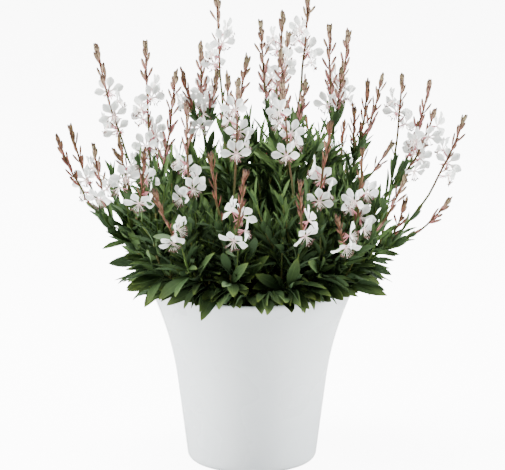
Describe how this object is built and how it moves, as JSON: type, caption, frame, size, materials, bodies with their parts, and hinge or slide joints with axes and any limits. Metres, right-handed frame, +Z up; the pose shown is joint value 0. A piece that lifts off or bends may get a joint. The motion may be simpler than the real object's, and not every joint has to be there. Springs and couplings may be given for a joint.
{
  "type": "potted gaura",
  "caption": "Bushy flowering gaura perennial: narrow green leaves, slender red-brown racemes with buds and white four-petalled blooms, growing in a plain white flared pot.",
  "frame": {"origin": "middle of the pot's flat underside, on the surface that it stands on", "axes": "+Z up along the pot's axis, -Y towards the side that is seen first, +X to the right as seen from there"},
  "size_m": [0.381, 0.2928, 0.449],
  "materials": {
    "pot_white": "satin",
    "potting_soil": "matte",
    "leaf_green": "satin",
    "raceme_russet": "matte",
    "petal_white": "matte"
  },
  "bodies": {
    "root": {"pot": "pot_white", "soil": "potting_soil", "leafy_stem_01": "leaf_green", "leafy_stem_02": "leaf_green", "leafy_stem_03": "leaf_green", "leafy_stem_04": "leaf_green", "leafy_stem_05": "leaf_green", "leafy_stem_06": "leaf_green", "leafy_stem_07": "leaf_green", "leafy_stem_08": "leaf_green", "leafy_stem_09": "leaf_green", "leafy_stem_10": "leaf_green", "leafy_stem_11": "leaf_green", "leafy_stem_12": "leaf_green", "leafy_stem_13": "leaf_green", "leafy_stem_14": "leaf_green", "leafy_stem_15": "leaf_green", "leafy_stem_16": "leaf_green", "leafy_stem_17": "leaf_green", "leafy_stem_18": "leaf_green", "racemes_01": "raceme_russet", "racemes_02": "raceme_russet", "racemes_03": "raceme_russet", "racemes_04": "raceme_russet", "racemes_05": "raceme_russet", "racemes_06": "raceme_russet", "racemes_07": "raceme_russet", "racemes_08": "raceme_russet", "racemes_09": "raceme_russet", "racemes_10": "raceme_russet", "racemes_11": "raceme_russet", "racemes_12": "raceme_russet", "racemes_13": "raceme_russet", "racemes_14": "raceme_russet", "racemes_15": "raceme_russet", "racemes_16": "raceme_russet", "racemes_17": "raceme_russet", "racemes_18": "raceme_russet", "blooms_01": "petal_white", "blooms_02": "petal_white", "blooms_03": "petal_white", "blooms_04": "petal_white", "blooms_05": "petal_white", "blooms_06": "petal_white", "blooms_07": "petal_white", "blooms_08": "petal_white", "blooms_09": "petal_white", "blooms_10": "petal_white", "blooms_11": "petal_white", "blooms_12": "petal_white", "blooms_13": "petal_white", "blooms_14": "petal_white", "blooms_15": "petal_white", "blooms_16": "petal_white", "blooms_17": "petal_white", "blooms_18": "petal_white", "blooms_19": "petal_white", "blooms_20": "petal_white", "blooms_21": "petal_white", "blooms_22": "petal_white"}
  },
  "joints": []
}
